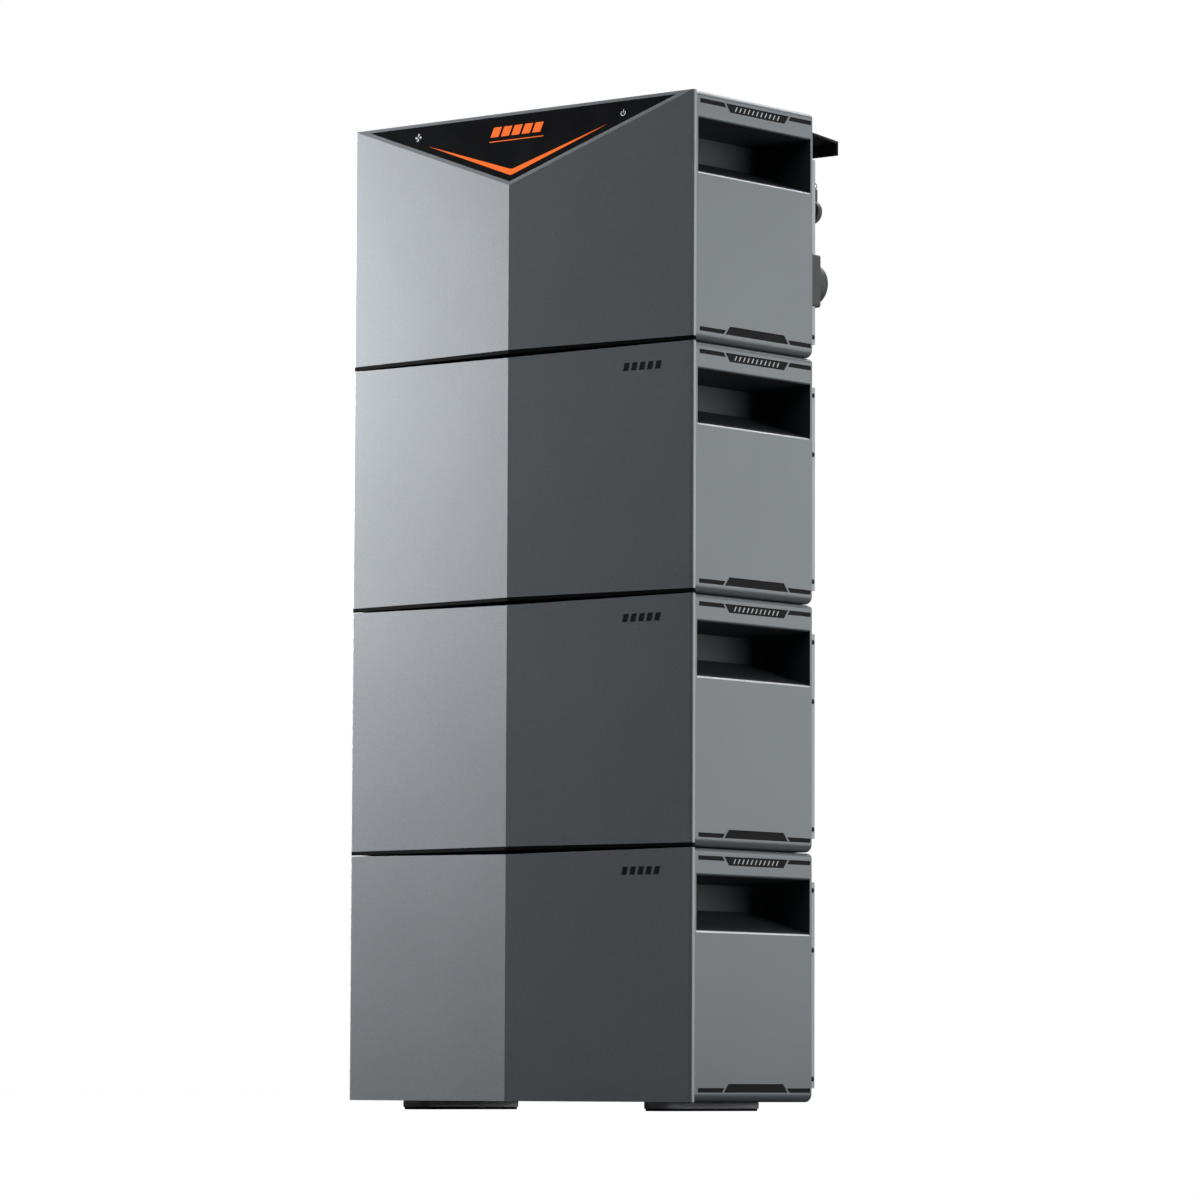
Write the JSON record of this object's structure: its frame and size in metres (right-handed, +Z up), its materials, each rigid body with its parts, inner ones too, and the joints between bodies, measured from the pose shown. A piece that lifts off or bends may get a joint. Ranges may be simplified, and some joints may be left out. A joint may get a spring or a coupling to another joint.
{
  "type": "stacked home battery unit",
  "caption": "Floor-standing home battery: stackable battery modules with grip recesses under an inverter head with a pointed prow front, touch panel, rear outlet and wall bracket.",
  "frame": {"origin": "centre of the bounding box's footprint, on the floor under the soles", "axes": "+Z up, +Y towards the wall behind, +X to the right seen from the front"},
  "size_m": [0.49, 0.2838, 1.1096],
  "materials": {
    "cover_paint": "satin powder coat with a fine grain",
    "side_paint": "satin powder coat",
    "inlay": "semi-gloss black",
    "glass_black": "gloss black touch glass",
    "sheet_steel": "matt dark coat",
    "rear_paint": "light grey powder coat",
    "black_steel": "matt black powder coat",
    "screw_black": "blackened steel",
    "pin_steel": "bright steel",
    "connector": "moulded black",
    "fitting_grey": "moulded mid grey",
    "cell_blue": "sleeved aluminium can",
    "copper": "bare copper",
    "board_green": "solder resist",
    "heat_sink": "extruded",
    "foot_coat": "moulded dark grey",
    "sole_rubber": "moulded rubber"
  },
  "bodies": {
    "battery1": {"battery1_side_right": "side_paint", "battery1_side_left": "side_paint", "battery1_side_inlays": "inlay", "battery1_floor_plate": "sheet_steel", "battery1_stack_socket": "connector", "battery1_front_cover": "cover_paint", "battery1_deck_plate": "sheet_steel", "battery1_stack_plug": "connector", "battery1_rear_cover": "rear_paint", "battery1_rear_screws": "screw_black", "battery1_cells": "cell_blue", "battery1_busbars": "copper", "battery1_bms_board": "board_green", "foot_bars": "foot_coat", "foot_soles": "sole_rubber"},
    "battery2": {"battery2_side_right": "side_paint", "battery2_side_left": "side_paint", "battery2_side_inlays": "inlay", "battery2_floor_plate": "sheet_steel", "battery2_stack_socket": "connector", "battery2_front_cover": "cover_paint", "battery2_deck_plate": "sheet_steel", "battery2_stack_plug": "connector", "battery2_rear_cover": "rear_paint", "battery2_rear_screws": "screw_black", "battery2_cells": "cell_blue", "battery2_busbars": "copper", "battery2_bms_board": "board_green"},
    "battery3": {"battery3_side_right": "side_paint", "battery3_side_left": "side_paint", "battery3_side_inlays": "inlay", "battery3_floor_plate": "sheet_steel", "battery3_stack_socket": "connector", "battery3_front_cover": "cover_paint", "battery3_deck_plate": "sheet_steel", "battery3_stack_plug": "connector", "battery3_rear_cover": "rear_paint", "battery3_rear_screws": "screw_black", "battery3_cells": "cell_blue", "battery3_busbars": "copper", "battery3_bms_board": "board_green"},
    "head": {"head_side_right": "side_paint", "head_side_left": "side_paint", "head_side_inlays": "inlay", "head_floor_plate": "sheet_steel", "head_stack_socket": "connector", "head_front_cover": "cover_paint", "head_touch_panel": "glass_black", "head_top_cover": "side_paint", "head_rear_cover": "rear_paint", "head_rear_screws": "screw_black", "head_inverter_board": "board_green", "head_heat_sink": "heat_sink", "head_fans": "connector", "outlet_socket": "fitting_grey", "inlet_socket": "connector", "hinge_pins": "pin_steel", "wall_bracket": "black_steel"},
    "outlet_lid": {"outlet_lid": "fitting_grey"},
    "inlet_cap": {"inlet_cap": "fitting_grey"}
  },
  "joints": [
    {"name": "battery2_lift", "type": "slide", "parent": "battery1", "child": "battery2", "axis": [0, 0, 1], "range_m": [0, 0.06]},
    {"name": "battery3_lift", "type": "slide", "parent": "battery2", "child": "battery3", "axis": [0, 0, 1], "range_m": [0, 0.06]},
    {"name": "head_lift", "type": "slide", "parent": "battery3", "child": "head", "axis": [0, 0, 1], "range_m": [0, 0.06]},
    {"name": "outlet_lid_hinge", "type": "hinge", "parent": "head", "child": "outlet_lid", "pos_m": [0.2195, 0.11205, 0.9493], "axis": [1, 0, 0], "range_deg": [0, 110], "stiffness_Nm_per_rad": 0.02, "springref_deg": -17.19},
    {"name": "inlet_cap_hinge", "type": "hinge", "parent": "head", "child": "inlet_cap", "pos_m": [0.2278, 0.11305, 1.0319], "axis": [1, 0, 0], "range_deg": [0, 110]}
  ]
}
